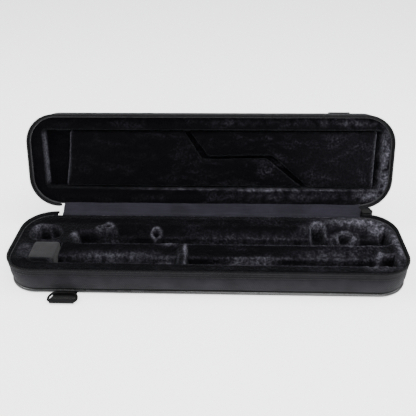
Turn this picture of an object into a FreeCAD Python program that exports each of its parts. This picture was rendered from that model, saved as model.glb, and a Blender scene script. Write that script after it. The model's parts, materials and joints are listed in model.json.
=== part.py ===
import FreeCAD, Part
import math
import os
from FreeCAD import Vector

# A zipped flute case, standing open. Millimetres, +Z up, +X along the case, -Y to the front.
# The origin is the centre of the underside. The lid is drawn closed, then swung open on its cloth hinge.

# The two halves, at the rim where the zipper closes them
rim_length = 436.0
rim_width = 112.0
rim_corner_radius = 35.0
base_depth = 32.6
lid_depth = 32.0
seam_gap = 0.3
lid_opening_degrees = 107.4

# The cloth cover and the piping round the outer edge
cover_thickness = 1.2
side_inset = 1.2
piping_diameter = 4.4
piping_inset = 1.0

# The stiff shell under the cover
shell_thickness = 3.2

# The zipper
zipper_band_height = 8.8
tape_thickness = 1.2
coil_diameter = 2.2
stop_length = 2.4
stop_margin = 0.25

# The plush linings
liner_drop = 6.2
liner_lip_thickness = 1.8
binding_width = 1.4
binding_proud = 1.0

# The cloth hinge: its axis stands behind the rim and below the seam
hinge_stand_off = 4.8
hinge_drop = 3.5
hinge_end_gap = 0.9

# The instrument that the base is shaped for
tube_diameter = 19.0
tube_clearance = 1.0
body_joint_length = 350.0
head_joint_length = 225.0
foot_joint_length = 162.0
joint_end_clearance = 1.0

# The channels in the base lining
channel_depth = 17.5
channel_lip_flare = 2.5
body_channel_offset = 13.0
front_channel_offset = 26.5
body_channel_end_margin = 17.0
head_channel_end_margin = 13.0
foot_channel_end_margin = 21.5
key_shelf_depth = 8.5
key_shelf_width = 23.0
key_shelf_start_share = 0.13
front_shelf_depth = 6.5
front_shelf_width = 25.0
front_shelf_end_margin = 18.0
finger_well_width = 14.0
finger_well_spans = (38.0, 28.0)
finger_well_depth = 18.5
finger_well_place_shares = (0.793, 0.882)
end_well_width = 9.0
end_well_span = 28.0
end_well_offset = 2.5
ring_notch_width = 11.0
ring_notch_span = 21.0
ring_notch_depth = 14.0
ring_notch_place_share = 0.253
pit_length = 34.0
pit_width = 25.0
pit_depth = 17.5
pit_end_margin = 13.0
pit_offset = 19.0
lining_corner_radius = 4.0

# The loose foam block that shortens the foot channel
block_length = 29.5
block_width = 32.0
block_height = 16.0
block_proud = 1.2
block_clearance = 0.4
block_front_margin = 26.0
block_corner_radius = 3.0
block_edge_radius = 2.0

# The formed plush tray and the two pads of the lid
well_left_margin = 19.0
well_right_margin = 14.4
well_rear_margin = 22.0
well_front_margin = 19.0
well_corner_radius = 3.0
well_depth = 12.5
tray_sheet = 3.0
pad_thickness = 8.5
pad_clearance = 0.5
pad_left_gap = 23.0
pad_left_slant = 8.5
pad_right_gap = 5.0
pad_groove = 2.2
pad_slant_groove = 6.0
pad_crown_radius = 2.6
step_front_share = 0.427
step_left_share = 0.482
step_right_share = 0.674
step_rear_share = 0.783
step_height_share = 0.533

# The webbing tabs and their D-rings, for a shoulder strap
webbing_width = 25.4
webbing_thickness = 1.3
base_tab_end_distance = 67.4
lid_tab_end_distance = 61.8
tab_root_length = 7.0
tab_slope_length = 3.2
base_tab_reach = 15.3
ring_wire = 2.6
ring_clearance = 0.3
ring_width = 33.0
ring_depth = 14.6
ring_bar_corner_radius = 3.2
ring_bow_corner_radius = 8.0
ring_rest_degrees = 6.0
lid_tab_overhang = 1.3
lid_tab_hang = 16.0

# The zipper slider, parked at the right end of the cloth hinge
slider_length = 12.6
slider_outer_width = 8.0
slider_inner_width = 4.6
slider_thickness = 3.6
slider_plate = 1.2
slider_drop = 2.3
slider_post_length = 3.2
slider_gap = 0.4
slider_corner_radius = 1.8
bail_wire = 1.4
bail_span = 6.2
bail_height = 2.6
bail_corner_radius = 1.0
pull_eye_diameter = 3.8
pull_clearance = 0.3
pull_length = 21.0
pull_width = 6.4
pull_thickness = 1.6
pull_corner_radius = 1.6

# A length by which a cutting shape runs past what it cuts, and one that is less than any edge's height
overrun = 20.0
overrun_least = 0.1

# How squarely an edge must run to count, and the roundest that a corner may be, as shares
parallel_share = 0.9
fullest_round_share = 0.48

# Places that follow from the sizes above
seam_level = base_depth
total_depth = base_depth + lid_depth
rim_front = -rim_width / 2
rim_rear = rim_width / 2
rim_right = rim_length / 2
hinge_half_length = rim_length / 2 - rim_corner_radius
hinge_y = rim_rear + hinge_stand_off
hinge_z = base_depth - hinge_drop
piping_radius = piping_diameter / 2
piping_path_inset = piping_inset + piping_radius
shell_inset = side_inset + cover_thickness
lining_inset = shell_inset + shell_thickness
lining_floor = cover_thickness + shell_thickness
X_AXIS = Vector(1, 0, 0)
Y_AXIS = Vector(0, 1, 0)
Z_AXIS = Vector(0, 0, 1)


# Outlines that follow the rim
def rim_edges(inset, z):
    """The rim's outline drawn inwards by the inset, from the left end of the rear side round the front."""
    x = rim_length / 2 - inset
    y = rim_width / 2 - inset
    r = rim_corner_radius - inset
    middle = r * math.sqrt(0.5)

    def corner(side, end, first, last):
        """A quarter turn at one corner, given by its signs along X and Y."""
        centre = Vector(side * (x - r), end * (y - r), z)
        points = {"y": centre + Vector(0, end * r, 0), "x": centre + Vector(side * r, 0, 0)}
        half_way = centre + Vector(side * middle, end * middle, 0)
        return Part.Arc(points[first], half_way, points[last]).toShape()

    def line(x0, y0, x1, y1):
        return Part.makeLine(Vector(x0, y0, z), Vector(x1, y1, z))

    return [
        corner(-1, 1, "y", "x"),
        line(-x, y - r, -x, r - y),
        corner(-1, -1, "x", "y"),
        line(r - x, -y, x - r, -y),
        corner(1, -1, "y", "x"),
        line(x, r - y, x, y - r),
        corner(1, 1, "x", "y"),
        line(x - r, y, r - x, y),
    ]


def rim_wire(inset, z):
    return Part.Wire(rim_edges(inset, z))


def rim_prism(inset, z0, z1):
    """A solid of the rim's outline with upright sides."""
    return Part.Face(rim_wire(inset, z0)).extrude(Vector(0, 0, z1 - z0))


def rim_flare(inset_low, z_low, inset_high, z_high):
    """A solid of the rim's outline that widens from one level to another."""
    return Part.makeLoft([rim_wire(inset_low, z_low), rim_wire(inset_high, z_high)], True, True)


def rim_bead(inset, z, radius, whole):
    """A round bead along the rim's outline: the whole loop, or all but the straight rear side."""
    edges = rim_edges(inset, z)
    path = Part.Wire(edges if whole else edges[:7])
    start = Vector(-(rim_length / 2 - rim_corner_radius), rim_width / 2 - inset, z)
    section = Part.Wire(Part.makeCircle(radius, start, X_AXIS))
    return path.makePipeShell([section], True, False)


# Small shapes used for several pieces
def box(x0, x1, y0, y1, z0, z1):
    return Part.makeBox(x1 - x0, y1 - y0, z1 - z0, Vector(x0, y0, z0))


def edges_along(solid, axis):
    """The straight edges that run in one direction."""
    return [edge for edge in solid.Edges if abs(edge.tangentAt(edge.FirstParameter) * axis) > parallel_share]


def top_edges(solid):
    """The edges round the upper face."""
    return [edge for edge in solid.Edges if edge.BoundBox.ZMin > solid.BoundBox.ZMax - overrun_least]


def rounded_box(x0, x1, y0, y1, z0, z1, radius):
    """A box whose four upright edges are rounded, to a half circle at most."""
    limit = min(radius, (x1 - x0) * fullest_round_share, (y1 - y0) * fullest_round_share)
    solid = box(x0, x1, y0, y1, z0, z1)
    return solid.makeFillet(limit, edges_along(solid, Z_AXIS))


def profile_prism(points, x0, x1):
    """A solid with one outline across the case, given as (y, z) points, from x0 to x1."""
    corners = [Vector(x0, y, z) for y, z in points]
    outline = Part.makePolygon(corners + corners[:1])
    return Part.Face(outline).extrude(Vector(x1 - x0, 0, 0))


def plan_prism(points, z0, z1):
    """A solid with one outline seen from above, given as (x, y) points."""
    corners = [Vector(x, y, z0) for x, y in points]
    outline = Part.makePolygon(corners + corners[:1])
    return Part.Face(outline).extrude(Vector(0, 0, z1 - z0))


def rod_along_x(radius, x0, x1, y, z):
    return Part.makeCylinder(radius, x1 - x0, Vector(x0, y, z), X_AXIS)


def joined(shapes):
    """One solid made of shapes that touch or overlap."""
    whole = shapes[0]
    for shape in shapes[1:]:
        whole = whole.fuse(shape)
    return whole.removeSplitter()


# One half of the case, drawn with its outer face down at z = 0 and its open rim up
def half_case(depth, outer_name, tab_root):
    """The shell, cover, piping and zipper of one half. The tab's root is let in under the piping."""
    band_low = depth - zipper_band_height
    rim_level = depth - seam_gap / 2
    lining_level = depth - liner_drop
    coil_radius = coil_diameter / 2
    coil_level = rim_level - coil_radius
    behind = box(
        -hinge_half_length, hinge_half_length,
        rim_rear - side_inset - 2 * cover_thickness, rim_rear + overrun,
        band_low, depth + overrun,
    )

    piping = rim_bead(piping_path_inset, piping_radius, piping_radius, True)
    outer = rim_prism(piping_path_inset, 0, cover_thickness).cut(piping).cut(tab_root)
    bead = piping.cut(tab_root)

    side = rim_prism(side_inset, piping_radius, band_low)
    side = side.cut(rim_prism(shell_inset, 0, depth)).cut(piping)

    shell = rim_prism(shell_inset, cover_thickness, lining_level - liner_lip_thickness)
    shell = shell.cut(rim_prism(lining_inset, lining_floor, depth)).cut(piping)

    tape = rim_flare(side_inset, band_low, 0, rim_level)
    tape = tape.cut(rim_flare(shell_inset, band_low, tape_thickness, rim_level))
    tape = tape.cut(rim_prism(-overrun, coil_level, depth + overrun)).cut(behind)
    coil = rim_bead(coil_radius, coil_level, coil_radius, False)
    tape = tape.cut(coil)

    stop_half = coil_radius + stop_margin
    stops = Part.makeCompound([
        box(
            x, x + stop_length,
            rim_rear - coil_radius - stop_half, rim_rear - 2 * stop_margin,
            coil_level - stop_half, coil_level + coil_radius,
        )
        for x in (-hinge_half_length, hinge_half_length - stop_length)
    ])

    binding_low = lining_level - liner_lip_thickness
    binding_high = lining_level + binding_proud
    flare_per_level = side_inset / zipper_band_height

    def tape_inner_inset(level):
        return shell_inset - (level - band_low) * flare_per_level

    binding = rim_flare(
        tape_inner_inset(binding_low) + seam_gap, binding_low,
        tape_inner_inset(binding_high) + seam_gap, binding_high,
    )
    binding = binding.cut(rim_prism(shell_inset + binding_width, 0, depth))

    return {
        outer_name: outer,
        "piping": bead,
        "side_cover": side,
        "shell": shell,
        "zipper_tape": tape,
        "zipper_coil": coil,
        "zipper_stops": stops,
        "binding": binding,
    }


def hinge_leaf(depth, axis_z):
    """The part of the cloth hinge that belongs to one half, from its rear side cover to the hinge axis."""
    low = depth - zipper_band_height
    y_in = rim_rear - shell_inset
    y_out = rim_rear - side_inset
    along_y = hinge_y - (y_in + y_out) / 2
    along_z = axis_z - low
    length = math.hypot(along_y, along_z)
    along_y = along_y / length
    along_z = along_z / length
    end_y = hinge_y - along_y * hinge_end_gap
    end_z = axis_z - along_z * hinge_end_gap
    half = cover_thickness / 2
    points = [
        (y_in, low),
        (y_out, low),
        (end_y + along_z * half, end_z - along_y * half),
        (end_y - along_z * half, end_z + along_y * half),
    ]
    return profile_prism(points, -hinge_half_length, hinge_half_length)


def lining_block(depth):
    """The outside of a lining: a block inside the shell, with a lip over the shell's edge."""
    level = depth - liner_drop
    block = rim_prism(lining_inset, lining_floor, level)
    lip = rim_prism(shell_inset + binding_width, level - liner_lip_thickness, level)
    return joined([block, lip])


# The lining of the base
lining_top = base_depth - liner_drop
channel_radius = tube_diameter / 2 + tube_clearance
channel_floor = lining_top - channel_depth
body_channel_x1 = rim_right - body_channel_end_margin
body_channel_x0 = body_channel_x1 - body_joint_length - 2 * joint_end_clearance
head_channel_x1 = rim_right - head_channel_end_margin
head_channel_x0 = head_channel_x1 - head_joint_length - 2 * joint_end_clearance
foot_channel_x0 = foot_channel_end_margin - rim_right
foot_channel_x1 = foot_channel_x0 + foot_joint_length + 2 * joint_end_clearance
body_channel_y = body_channel_offset
front_channel_y = -front_channel_offset
block_x0 = foot_channel_x0 + block_clearance
block_x1 = block_x0 + block_length
block_y0 = rim_front + block_front_margin
block_y1 = block_y0 + block_width
block_bottom = lining_top + block_proud - block_height


def channel(x0, x1, y):
    """The space that a tube of the instrument lies in: round below, open above, with flared lips."""
    centre_z = channel_floor + channel_radius
    top = lining_top + overrun
    flare_low = lining_top - channel_lip_flare
    flare_out = channel_radius + channel_lip_flare + overrun
    upper = box(x0, x1, y - channel_radius, y + channel_radius, centre_z, top)
    lips = profile_prism(
        [
            (y - channel_radius, flare_low),
            (y + channel_radius, flare_low),
            (y + flare_out, top),
            (y - flare_out, top),
        ],
        x0, x1,
    )
    return joined([rod_along_x(channel_radius, x0, x1, y, centre_z), upper, lips])


def body_place(share):
    """A place along the body channel, as a share of its length from the left."""
    return body_channel_x0 + share * (body_channel_x1 - body_channel_x0)


def cut_down(solid, x0, x1, y0, y1, depth, radius):
    """Sinks a pocket with rounded corners into the lining, from its top."""
    return solid.cut(rounded_box(x0, x1, y0, y1, lining_top - depth, lining_top + overrun, radius))


def base_liner():
    liner = lining_block(base_depth)
    for x0, x1, y in (
        (body_channel_x0, body_channel_x1, body_channel_y),
        (head_channel_x0, head_channel_x1, front_channel_y),
        (foot_channel_x0, foot_channel_x1, front_channel_y),
    ):
        liner = liner.cut(channel(x0, x1, y))

    # The keys of the body stand out behind its tube, and those of the foot and the lip plate before it
    liner = cut_down(
        liner, body_place(key_shelf_start_share), body_channel_x1,
        body_channel_y, body_channel_y + key_shelf_width, key_shelf_depth, lining_corner_radius,
    )
    for x0, x1 in (
        (head_channel_x0, head_channel_x1 - front_shelf_end_margin),
        (block_x1 + block_clearance, foot_channel_x1),
    ):
        liner = cut_down(
            liner, x0, x1, front_channel_y, front_channel_y + front_shelf_width,
            front_shelf_depth, lining_corner_radius,
        )

    # Wells for the fingers that lift the body out, and the notch for the ring at its left end
    well_y0 = body_channel_y - channel_radius
    for share, well_span in zip(finger_well_place_shares, finger_well_spans):
        middle = body_place(share)
        liner = cut_down(
            liner, middle - finger_well_width / 2, middle + finger_well_width / 2,
            well_y0, well_y0 + well_span, finger_well_depth, lining_corner_radius,
        )
    end_well_x = body_channel_x1 + end_well_offset
    liner = cut_down(
        liner, end_well_x - end_well_width / 2, end_well_x + end_well_width / 2,
        well_y0, well_y0 + end_well_span, finger_well_depth, lining_corner_radius,
    )
    notch = body_place(ring_notch_place_share)
    liner = cut_down(
        liner, notch - ring_notch_width / 2, notch + ring_notch_width / 2,
        well_y0, well_y0 + ring_notch_span, ring_notch_depth, lining_corner_radius,
    )

    # The pit for small things behind the loose block, and the block's own seat
    pit_x0 = pit_end_margin - rim_right
    liner = cut_down(
        liner, pit_x0, pit_x0 + pit_length, pit_offset - pit_width / 2, pit_offset + pit_width / 2,
        pit_depth, pit_width / 2,
    )
    return cut_down(
        liner, block_x0 - block_clearance, block_x1 + block_clearance,
        block_y0 - block_clearance, block_y1 + block_clearance,
        block_height - block_proud, block_clearance,
    )


def spacer_block():
    """A foam block with rounded corners and softened upper edges."""
    solid = rounded_box(
        block_x0, block_x1, block_y0, block_y1,
        block_bottom, block_bottom + block_height, block_corner_radius,
    )
    return solid.makeFillet(block_edge_radius, top_edges(solid))


# The lining of the lid, drawn with the lid's outer face down, and its two pads
well_level = lid_depth - liner_drop
well_floor = well_level - well_depth
well_x0 = well_left_margin - rim_right
well_x1 = rim_right - well_right_margin
well_y0 = rim_front + well_front_margin
well_y1 = rim_rear - well_rear_margin


def lid_tray():
    """A plush tray formed from thick sheet: a wide rim, upright walls and a floor."""
    def well_box(grow, low, high):
        return rounded_box(
            well_x0 - grow, well_x1 + grow, well_y0 - grow, well_y1 + grow,
            low, high, well_corner_radius + grow,
        )

    rim = rim_prism(shell_inset + binding_width, well_level - liner_lip_thickness, well_level)
    under_rim = rim_prism(lining_inset, well_level - tray_sheet, well_level - liner_lip_thickness)
    bowl = well_box(tray_sheet, well_floor - tray_sheet, well_level)
    feet = [
        box(x - tray_sheet, x + tray_sheet, well_y0, well_y1, lining_floor, well_floor)
        for x in (well_x0 + tray_sheet, 0, well_x1 - tray_sheet)
    ]
    tray = joined([rim, under_rim, bowl] + feet)
    return tray.cut(well_box(0, well_floor, well_level + overrun))


def pad_outlines():
    """The two pads' outlines seen from above. They share a stepped groove that runs across the well."""
    left = well_x0 + pad_left_gap
    right = well_x1 - pad_right_gap
    front = well_y0 + pad_clearance
    rear = well_y1 - pad_clearance
    step_y = rear - step_height_share * (rear - front)
    span = well_x1 - well_x0
    front_x = well_x0 + step_front_share * span
    left_x = well_x0 + step_left_share * span
    right_x = well_x0 + step_right_share * span
    rear_x = well_x0 + step_rear_share * span
    half = pad_groove / 2
    slant = pad_slant_groove / 2
    left_pad = [
        (left + pad_left_slant, front),
        (front_x - slant, front),
        (left_x - slant, step_y + half),
        (right_x - slant, step_y + half),
        (rear_x - slant, rear),
        (left, rear),
    ]
    right_pad = [
        (front_x + slant, front),
        (right, front),
        (right, rear),
        (rear_x + slant, rear),
        (right_x + slant, step_y - half),
        (left_x + slant, step_y - half),
    ]
    return left_pad, right_pad


def lid_pad(outline):
    """A flat pad whose upper edges are drawn in."""
    solid = plan_prism(outline, well_floor, well_floor + pad_thickness)
    return solid.makeFillet(pad_crown_radius, top_edges(solid))


# The webbing tabs and D-rings
base_tab_x = base_tab_end_distance - rim_right
lid_tab_x = rim_right - lid_tab_end_distance
bar_radius = ring_wire / 2
loop_radius = bar_radius + ring_clearance + webbing_thickness
tab_root_y = rim_front + piping_path_inset + tab_root_length
base_bar_y = rim_front + piping_inset - base_tab_reach
base_bar_z = loop_radius


def tab_root(x):
    """The sewn-in end of a tab, pressed flat under the piping."""
    return box(
        x - webbing_width / 2, x + webbing_width / 2,
        base_bar_y, tab_root_y, 0, cover_thickness,
    )


def base_strap_tab():
    """Webbing that comes out from under the piping and turns round the ring's bar."""
    x0 = base_tab_x - webbing_width / 2
    x1 = base_tab_x + webbing_width / 2
    turn = rod_along_x(loop_radius, x0, x1, base_bar_y, base_bar_z)
    slope_end = base_bar_y + tab_slope_length
    web = profile_prism(
        [
            (base_bar_y, 0),
            (slope_end, 0),
            (slope_end, cover_thickness),
            (base_bar_y, base_bar_z + loop_radius),
        ],
        x0, x1,
    )
    hole = rod_along_x(bar_radius + ring_clearance, x0 - overrun, x1 + overrun, base_bar_y, base_bar_z)
    return joined([turn, web, tab_root(base_tab_x)]).cut(hole)


def d_ring():
    """A bent wire D with its bar along X at the origin and its bow towards +Y."""
    half = ring_width / 2 - bar_radius
    reach = ring_depth - ring_wire
    small = ring_bar_corner_radius
    large = ring_bow_corner_radius

    def turn(cx, cy, radius, start, end):
        points = []
        for share in (0, 0.5, 1):
            angle = math.radians(start + share * (end - start))
            points.append(Vector(cx + radius * math.cos(angle), cy + radius * math.sin(angle), 0))
        return Part.Arc(*points).toShape()

    def line(x0, y0, x1, y1):
        return Part.makeLine(Vector(x0, y0, 0), Vector(x1, y1, 0))

    path = Part.Wire([
        line(small - half, 0, half - small, 0),
        turn(half - small, small, small, -90, 0),
        line(half, small, half, reach - large),
        turn(half - large, reach - large, large, 0, 90),
        line(half - large, reach, large - half, reach),
        turn(large - half, reach - large, large, 90, 180),
        line(-half, reach - large, -half, small),
        turn(small - half, small, small, 180, 270),
    ])
    section = Part.Wire(Part.makeCircle(bar_radius, Vector(small - half, 0, 0), X_AXIS))
    return path.makePipeShell([section], True, False)


def base_d_ring():
    """Folded back over the base's tab, leaning a little up from level."""
    ring = d_ring()
    ring.rotate(Vector(0, 0, 0), X_AXIS, ring_rest_degrees)
    ring.translate(Vector(base_tab_x, base_bar_y, base_bar_z))
    return ring


# The lid's tab hangs straight down when the lid stands open, so its slope is set by the opening angle
hang_angle = math.radians(lid_opening_degrees - 90)
hang_y = math.cos(hang_angle)
hang_z = math.sin(hang_angle)
fold_y = rim_front + piping_inset - lid_tab_overhang + webbing_thickness
fold_z = total_depth + webbing_thickness + ring_clearance
lid_bar_y = fold_y + lid_tab_hang * hang_y
lid_bar_z = fold_z + lid_tab_hang * hang_z


def lid_strap_tab():
    """Webbing that comes out over the piping, folds back over the lid's top and holds the ring."""
    x0 = lid_tab_x - webbing_width / 2
    x1 = lid_tab_x + webbing_width / 2
    half = webbing_thickness
    root = box(x0, x1, fold_y, tab_root_y, total_depth - cover_thickness, total_depth)
    upright = box(x0, x1, fold_y - half, fold_y, total_depth - cover_thickness, fold_z)
    fold = rod_along_x(half, x0, x1, fold_y, fold_z)
    hanging = profile_prism(
        [
            (fold_y + hang_z * half, fold_z - hang_y * half),
            (lid_bar_y + hang_z * half, lid_bar_z - hang_y * half),
            (lid_bar_y - hang_z * half, lid_bar_z + hang_y * half),
            (fold_y - hang_z * half, fold_z + hang_y * half),
        ],
        x0, x1,
    )
    turn = rod_along_x(loop_radius, x0, x1, lid_bar_y, lid_bar_z)
    hole = rod_along_x(bar_radius + ring_clearance, x0 - overrun, x1 + overrun, lid_bar_y, lid_bar_z)
    return joined([root, upright, fold, hanging, turn]).cut(hole)


def lid_d_ring():
    """Hangs on in line with the lid's tab."""
    ring = d_ring()
    ring.rotate(Vector(0, 0, 0), X_AXIS, math.degrees(hang_angle))
    ring.translate(Vector(lid_tab_x, lid_bar_y, lid_bar_z))
    return ring


# The slider, drawn behind the closed seam; it swings half as far as the lid
slider_x0 = hinge_half_length + ring_clearance
slider_x1 = slider_x0 + slider_length
slider_y0 = rim_rear + slider_gap
slider_y1 = slider_y0 + slider_thickness
slider_x = (slider_x0 + slider_x1) / 2
slider_z = seam_level - slider_drop
bail_y = slider_y1 + bail_height
pull_eye_width = bail_span - 2 * bail_wire - 2 * pull_clearance


def slider_body():
    """Two plates joined by a post at the nose, with the coil's way between them."""
    def plate(width, y0, y1):
        solid = box(slider_x0, slider_x1, y0, y1, slider_z - width / 2, slider_z + width / 2)
        return solid.makeFillet(slider_corner_radius, edges_along(solid, Y_AXIS))

    post = box(
        slider_x1 - slider_corner_radius - slider_post_length, slider_x1 - slider_corner_radius,
        slider_y0, slider_y1, slider_z - slider_inner_width / 4, slider_z + slider_inner_width / 4,
    )
    inner = plate(slider_inner_width, slider_y0, slider_y0 + slider_plate)
    outer = plate(slider_outer_width, slider_y1 - slider_plate, slider_y1)
    return joined([inner, outer, post])


def slider_bail():
    """A wire staple on the outer plate, with its bar across the zipper."""
    leg_z = bail_span / 2 - bail_wire / 2
    turn = bail_corner_radius
    middle = turn * (1 - math.sqrt(0.5))

    def at(y, z):
        return Vector(slider_x, y, slider_z + z)

    path = Part.Wire([
        Part.makeLine(at(slider_y1, -leg_z), at(bail_y - turn, -leg_z)),
        Part.Arc(
            at(bail_y - turn, -leg_z), at(bail_y - middle, middle - leg_z), at(bail_y, turn - leg_z),
        ).toShape(),
        Part.makeLine(at(bail_y, turn - leg_z), at(bail_y, leg_z - turn)),
        Part.Arc(
            at(bail_y, leg_z - turn), at(bail_y - middle, leg_z - middle), at(bail_y - turn, leg_z),
        ).toShape(),
        Part.makeLine(at(bail_y - turn, leg_z), at(slider_y1, leg_z)),
    ])
    section = Part.Wire(Part.makeCircle(bail_wire / 2, at(slider_y1, -leg_z), Y_AXIS))
    return path.makePipeShell([section], True, False)


def pull_tab():
    """A flat tab with an eye round the bail's bar, pointing straight out from the slider."""
    eye_z0 = slider_z - pull_eye_width / 2
    eye_radius = pull_eye_diameter / 2
    eye = Part.makeCylinder(eye_radius, pull_eye_width, Vector(slider_x, bail_y, eye_z0), Z_AXIS)
    neck_end = bail_y + bail_span / 2 + pull_clearance
    x0 = slider_x - pull_thickness / 2
    x1 = slider_x + pull_thickness / 2
    neck = box(x0, x1, bail_y, neck_end + eye_radius, eye_z0, eye_z0 + pull_eye_width)
    paddle = box(
        x0, x1, neck_end, bail_y + pull_length,
        slider_z - pull_width / 2, slider_z + pull_width / 2,
    )
    paddle = paddle.makeFillet(pull_corner_radius, edges_along(paddle, X_AXIS))
    hole = Part.makeCylinder(
        bail_wire / 2 + pull_clearance, pull_eye_width + 2 * overrun,
        Vector(slider_x, bail_y, eye_z0 - overrun), Z_AXIS,
    )
    return joined([eye, neck, paddle]).cut(hole)


# Places: the lid's pieces are turned over onto the base, then swung open
def swung_open(shape, share):
    """Turns a piece back about the cloth hinge, by a share of the lid's opening."""
    shape.rotate(Vector(0, hinge_y, hinge_z), X_AXIS, -share * lid_opening_degrees)
    return shape


def as_lid(shape):
    """Turns over a piece drawn with its outer face down, and opens it with the lid."""
    over = shape.mirror(Vector(0, 0, total_depth / 2), Z_AXIS)
    return swung_open(over, 1)


def case_pieces():
    """Every piece of the case, by name, where it stands with the lid open."""
    pieces = {}
    for name, shape in half_case(base_depth, "bottom_cover", tab_root(base_tab_x)).items():
        pieces["base_" + name] = shape
    pieces["base_hinge_cloth"] = hinge_leaf(base_depth, hinge_z)
    pieces["base_liner"] = base_liner()
    pieces["base_strap_tab"] = base_strap_tab()
    pieces["base_d_ring"] = base_d_ring()
    pieces["spacer_block"] = spacer_block()

    for name, shape in half_case(lid_depth, "top_cover", tab_root(lid_tab_x)).items():
        pieces["lid_" + name] = as_lid(shape)
    pieces["lid_hinge_cloth"] = as_lid(hinge_leaf(lid_depth, total_depth - hinge_z))
    pieces["lid_liner_tray"] = as_lid(lid_tray())
    left_outline, right_outline = pad_outlines()
    pieces["lid_pad_left"] = as_lid(lid_pad(left_outline))
    pieces["lid_pad_right"] = as_lid(lid_pad(right_outline))
    pieces["lid_strap_tab"] = swung_open(lid_strap_tab(), 1)
    pieces["lid_d_ring"] = swung_open(lid_d_ring(), 1)

    pieces["zipper_slider"] = swung_open(slider_body(), 0.5)
    pieces["slider_bail"] = swung_open(slider_bail(), 0.5)
    pieces["pull_tab"] = swung_open(pull_tab(), 0.5)
    return pieces


def main():
    os.makedirs("parts", exist_ok=True)
    for name, shape in case_pieces().items():
        box_of = shape.BoundBox
        print(
            f"{name:20s} solids {len(shape.Solids)} valid {shape.isValid()} volume {shape.Volume:10.0f}"
            f"  x {box_of.XMin:7.1f} {box_of.XMax:7.1f}  y {box_of.YMin:7.1f} {box_of.YMax:7.1f}"
            f"  z {box_of.ZMin:7.2f} {box_of.ZMax:7.2f}"
        )
        shape.exportStep(f"parts/{name}.step")


main()
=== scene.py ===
# %% [markdown]
# # A flute case, standing open
# The case is two shallow trays of stiff foam under black nylon, joined by a strip of cloth and closed by a
# zipper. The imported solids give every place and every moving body. This script dresses them: each cloth,
# plush and webbing solid is replaced by a softer piece of the same size, and the metal keeps its solids.

# %% Frame
import json
import math

import bmesh
import bpy
import numpy as np
from mathutils import Matrix, Vector, noise


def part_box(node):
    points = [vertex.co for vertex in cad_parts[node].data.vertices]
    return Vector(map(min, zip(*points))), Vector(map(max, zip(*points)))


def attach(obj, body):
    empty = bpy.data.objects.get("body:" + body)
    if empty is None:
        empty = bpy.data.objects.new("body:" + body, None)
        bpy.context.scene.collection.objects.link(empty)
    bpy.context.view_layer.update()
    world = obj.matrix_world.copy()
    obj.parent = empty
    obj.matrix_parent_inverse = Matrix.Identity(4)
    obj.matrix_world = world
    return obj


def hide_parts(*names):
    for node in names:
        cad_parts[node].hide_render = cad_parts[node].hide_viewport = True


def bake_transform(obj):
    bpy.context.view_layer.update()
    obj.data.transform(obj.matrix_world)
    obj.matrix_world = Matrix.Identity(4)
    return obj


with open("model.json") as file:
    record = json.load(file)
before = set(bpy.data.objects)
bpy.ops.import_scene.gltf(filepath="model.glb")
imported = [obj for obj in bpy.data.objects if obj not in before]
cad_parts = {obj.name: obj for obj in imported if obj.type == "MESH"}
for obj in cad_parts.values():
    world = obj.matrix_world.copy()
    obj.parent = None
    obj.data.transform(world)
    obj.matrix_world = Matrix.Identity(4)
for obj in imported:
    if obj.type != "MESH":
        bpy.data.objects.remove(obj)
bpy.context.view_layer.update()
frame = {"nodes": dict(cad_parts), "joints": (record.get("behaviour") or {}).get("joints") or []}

# %% [markdown]
# ## Two halves, one set of drawings
# Both halves have the same rim, so each piece is drawn once, in millimetres, with its half's outer face down
# on z = 0. The lid's pieces are then turned over onto the base and swung open about the hinge, whose place
# and angle come from the frame. Turning over is a mirror, so the lid's faces are reversed to point outwards.

# %% Sizes and the way from one half to the whole
MM = 0.001
rim_length, rim_width, rim_corner_radius = 436.0, 112.0, 35.0
base_depth, lid_depth = 32.6, 32.0
total_depth = base_depth + lid_depth
depth_of = {"base": base_depth, "lid": lid_depth}

lid_hinge = next(joint for joint in frame["joints"] if joint["name"] == "lid_hinge")
hinge_y = lid_hinge["pos_m"][1] / MM
hinge_z = lid_hinge["pos_m"][2] / MM
opening = math.radians(lid_hinge["range_deg"][1])


def place(points, half):
    """Takes own places of a half, in millimetres, to the frame, in metres."""
    points = np.array(points, float).reshape(-1, 3)
    if half == "lid":
        y = points[:, 1] - hinge_y
        z = total_depth - points[:, 2] - hinge_z
        cos, sin = math.cos(-opening), math.sin(-opening)
        points = np.stack([points[:, 0], hinge_y + y * cos - z * sin, hinge_z + y * sin + z * cos], 1)
    return points * MM


print("hinge at y %.1f, z %.1f mm, open %.1f degrees" % (hinge_y, hinge_z, math.degrees(opening)))

# %% [markdown]
# ## Finishes
# Every finish is built from nodes. Cloth reads the piece's own UV map, which is laid out in centimetres of
# cloth, so a weave has its real pitch and follows the surface. The rest reads Object coordinates.

# %% A short way to write node trees
def add(tree, kind, inputs=None, **settings):
    """One node. An input's value is a number, a colour, or the socket that feeds it."""
    node = tree.nodes.new(kind)
    for key, value in settings.items():
        setattr(node, key, value)
    for key, value in (inputs or {}).items():
        if isinstance(value, bpy.types.NodeSocket):
            tree.links.new(value, node.inputs[key])
        else:
            node.inputs[key].default_value = value
    return node


def math_node(tree, operation, *values):
    return add(tree, "ShaderNodeMath", dict(enumerate(values)), operation=operation).outputs[0]


def mixed(tree, share, low, high):
    """A colour between two others."""
    node = add(tree, "ShaderNodeMix", data_type="RGBA")
    for socket, value in ((node.inputs["Factor"], share), (node.inputs[6], low), (node.inputs[7], high)):
        if isinstance(value, bpy.types.NodeSocket):
            tree.links.new(value, socket)
        else:
            socket.default_value = value
    return node.outputs[2]


def ramp(tree, value, low, high):
    """Spreads the part of a value between low and high over 0 to 1."""
    node = add(tree, "ShaderNodeMapRange", {"Value": value, "From Min": low, "From Max": high})
    return node.outputs["Result"]


def grey(level, blue=0.0):
    return (level, level * (1 - blue / 5), level * (1 + blue), 1.0)


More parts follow.
